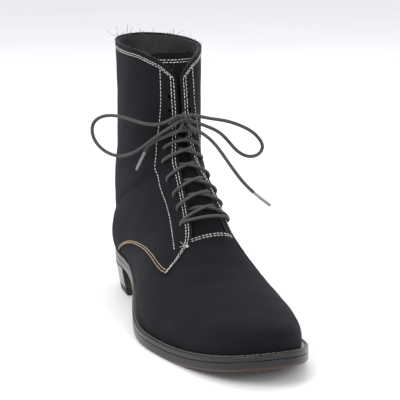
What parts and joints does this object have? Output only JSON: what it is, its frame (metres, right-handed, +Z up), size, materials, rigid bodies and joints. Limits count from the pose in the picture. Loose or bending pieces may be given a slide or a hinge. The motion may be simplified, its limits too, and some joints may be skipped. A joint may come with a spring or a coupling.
{
  "type": "lace-up boot",
  "caption": "Ankle-high lace-up derby boot, right foot, with a hollow cloth upper, tongue, round laces in a bow, welted leather sole and low stacked heel.",
  "frame": {"origin": "middle of the heel lift's underside, on the floor", "axes": "+Z up, +Y from heel to toe, +X to the boot's outer side, the wearer's right"},
  "size_m": [0.1196, 0.3082, 0.2126],
  "materials": {
    "cloth": "matte dense black cloth",
    "sole_leather": "waxed dark brown edge",
    "rubber": "matte rubber lift",
    "insole_leather": "plain tan leather",
    "lace": "round braided cord, lightly waxed",
    "lace_tip": "smooth grey film"
  },
  "bodies": {
    "root": {"outsole": "sole_leather", "welt": "sole_leather", "heel_stack": "sole_leather", "heel_lift": "rubber", "insole": "insole_leather", "upper": "cloth", "tongue": "cloth", "lace_bars": "lace", "lace_knot": "lace", "lace_loop_lateral": "lace", "lace_loop_medial": "lace", "lace_end_lateral": "lace", "lace_end_medial": "lace", "lace_tip_lateral": "lace_tip", "lace_tip_medial": "lace_tip"}
  },
  "joints": []
}
